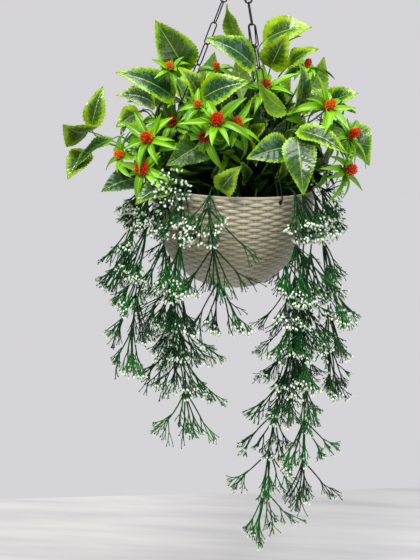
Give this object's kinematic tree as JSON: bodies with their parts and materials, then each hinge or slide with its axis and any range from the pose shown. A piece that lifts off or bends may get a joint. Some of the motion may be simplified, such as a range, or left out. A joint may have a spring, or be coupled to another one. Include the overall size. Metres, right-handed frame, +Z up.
{
  "type": "flower hanging basket",
  "caption": "Hanging basket: a woven-look bowl on three link chains and a hook, filled with artificial coleus leaves, berry-like heads and trailing sprays.",
  "frame": {"origin": "the inner top of the hook's crook, where it rests on its rail", "axes": "+Z up along the shank of the hook, -Y towards the viewer of the picture, +X to that viewer's right"},
  "size_m": [0.4435, 0.3472, 0.923],
  "materials": {
    "bowl": "satin moulded weave, beige",
    "foam": "dark open foam",
    "steel": "black",
    "chain": "black",
    "coleus": "variegated, dark glossy centre and bright margin",
    "lance": "bright green, satin",
    "berry": "red to orange, spiky",
    "spray": "dark green with pale buds"
  },
  "bodies": {
    "root": {"bowl": "bowl", "foam": "foam", "hook": "steel", "chain_left": "chain", "chain_front": "chain", "chain_back": "chain", "coleus_1": "coleus", "coleus_2": "coleus", "coleus_3": "coleus", "coleus_4": "coleus", "coleus_5": "coleus", "coleus_6": "coleus", "coleus_7": "coleus", "coleus_8": "coleus", "coleus_9": "coleus", "coleus_10": "coleus", "coleus_11": "coleus", "coleus_12": "coleus", "berry_stem_1": "lance", "berry_stem_2": "lance", "berry_stem_3": "lance", "berry_stem_4": "lance", "berry_stem_5": "lance", "berry_stem_6": "lance", "berry_stem_7": "lance", "berry_stem_8": "lance", "berry_stem_9": "lance", "berry_1": "berry", "berry_2": "berry", "berry_3": "berry", "berry_4": "berry", "berry_5": "berry", "berry_6": "berry", "berry_7": "berry", "berry_8": "berry", "berry_9": "berry", "berry_10": "berry", "berry_11": "berry", "berry_12": "berry", "berry_13": "berry", "berry_14": "berry", "berry_15": "berry", "berry_16": "berry", "berry_17": "berry", "berry_18": "berry", "berry_19": "berry", "berry_20": "berry", "trail_1": "spray", "trail_2": "spray", "trail_3": "spray", "trail_4": "spray", "trail_5": "spray", "trail_6": "spray", "trail_7": "spray", "trail_8": "spray", "trail_9": "spray", "trail_10": "spray", "trail_11": "spray"}
  },
  "joints": []
}
